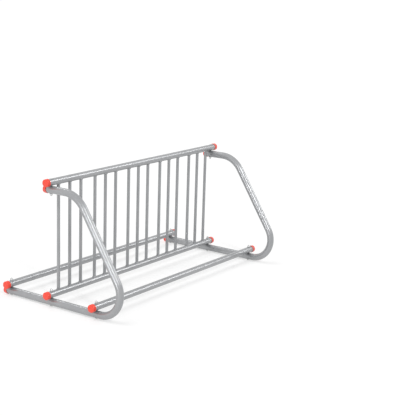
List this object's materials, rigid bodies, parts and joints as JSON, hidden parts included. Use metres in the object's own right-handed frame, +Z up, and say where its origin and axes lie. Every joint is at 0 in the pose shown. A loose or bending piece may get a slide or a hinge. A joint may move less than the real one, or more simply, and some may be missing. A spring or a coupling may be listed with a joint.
{
  "type": "floor bike rack",
  "caption": "Two-sided grid bike rack of bolted steel tube: bent end frames, long rails, upright bars in groups and plastic end caps.",
  "frame": {"origin": "on the floor, under the middle of the rack's overall box", "axes": "+X along the rails, +Z up; -Y is the side where the end frames' bends and slopes are"},
  "size_m": [1.6986, 0.9134, 0.7687],
  "materials": {
    "painted_tube": "satin",
    "end_cap": "satin",
    "zinc": "satin"
  },
  "bodies": {
    "root": {"top_rail": "painted_tube", "top_rail_cap_left": "end_cap", "top_rail_cap_right": "end_cap", "centre_rail": "painted_tube", "centre_rail_cap_left": "end_cap", "centre_rail_cap_right": "end_cap", "front_rail": "painted_tube", "front_rail_cap_left": "end_cap", "front_rail_cap_right": "end_cap", "rear_rail": "painted_tube", "rear_rail_cap_left": "end_cap", "rear_rail_cap_right": "end_cap", "end_frame_left": "painted_tube", "frame_floor_cap_left": "end_cap", "frame_top_cap_left": "end_cap", "top_bolt_left": "zinc", "top_washer_left": "zinc", "top_nut_left": "zinc", "centre_bolt_left": "zinc", "centre_washer_left": "zinc", "centre_nut_left": "zinc", "front_bolt_left": "zinc", "front_washer_left": "zinc", "front_nut_left": "zinc", "rear_bolt_left": "zinc", "rear_washer_left": "zinc", "rear_nut_left": "zinc", "end_frame_right": "painted_tube", "frame_floor_cap_right": "end_cap", "frame_top_cap_right": "end_cap", "top_bolt_right": "zinc", "top_washer_right": "zinc", "top_nut_right": "zinc", "centre_bolt_right": "zinc", "centre_washer_right": "zinc", "centre_nut_right": "zinc", "front_bolt_right": "zinc", "front_washer_right": "zinc", "front_nut_right": "zinc", "rear_bolt_right": "zinc", "rear_washer_right": "zinc", "rear_nut_right": "zinc", "bar_01": "painted_tube", "bar_02": "painted_tube", "bar_03": "painted_tube", "bar_04": "painted_tube", "bar_05": "painted_tube", "bar_06": "painted_tube", "bar_07": "painted_tube", "bar_08": "painted_tube", "bar_09": "painted_tube", "bar_10": "painted_tube", "bar_11": "painted_tube", "bar_12": "painted_tube", "bar_13": "painted_tube", "bar_14": "painted_tube", "bar_15": "painted_tube"}
  },
  "joints": []
}
